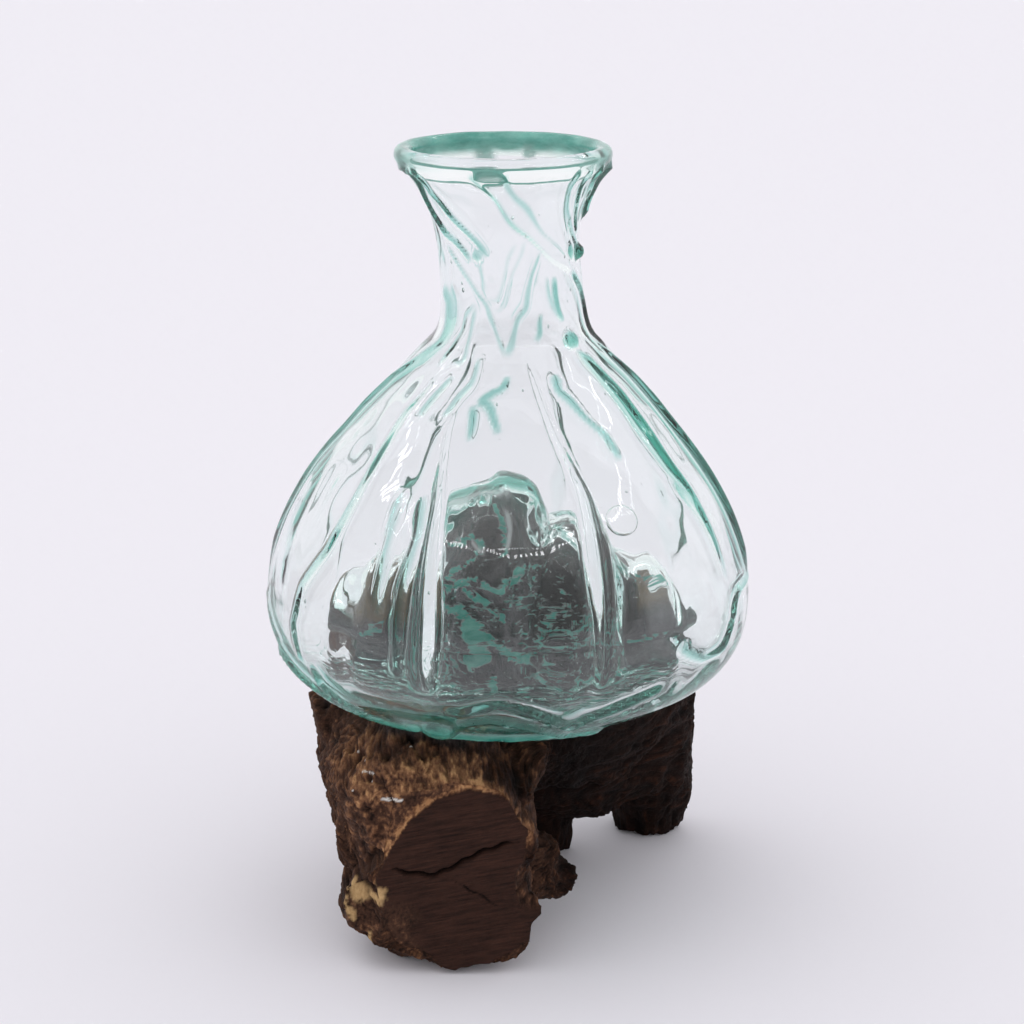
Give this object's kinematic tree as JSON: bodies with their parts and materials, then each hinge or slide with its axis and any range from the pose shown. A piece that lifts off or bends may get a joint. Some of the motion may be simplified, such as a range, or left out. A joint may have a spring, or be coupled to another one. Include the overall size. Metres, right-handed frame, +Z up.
{
  "type": "carafe",
  "caption": "Hand-blown glass carafe with a flared lip and ribbed, bell-shaped bowl, slumped over a gnarled wood root base that it lifts off.",
  "frame": {"origin": "on the floor, under the middle of the whole object", "axes": "+Z up, along the carafe's axis and the way it lifts off; -Y is the side with the sawn end of the root"},
  "size_m": [0.1576, 0.1558, 0.2522],
  "materials": {
    "blown_glass": "fire-polished, pale aqua",
    "root_wood": "raw bark and sawn end grain"
  },
  "bodies": {
    "base": {"root_base": "root_wood"},
    "carafe": {"glass_carafe": "blown_glass"}
  },
  "joints": [
    {"name": "carafe_lift", "type": "slide", "parent": "base", "child": "carafe", "axis": [0, 0, 1], "range_m": [0, 0.08]}
  ]
}
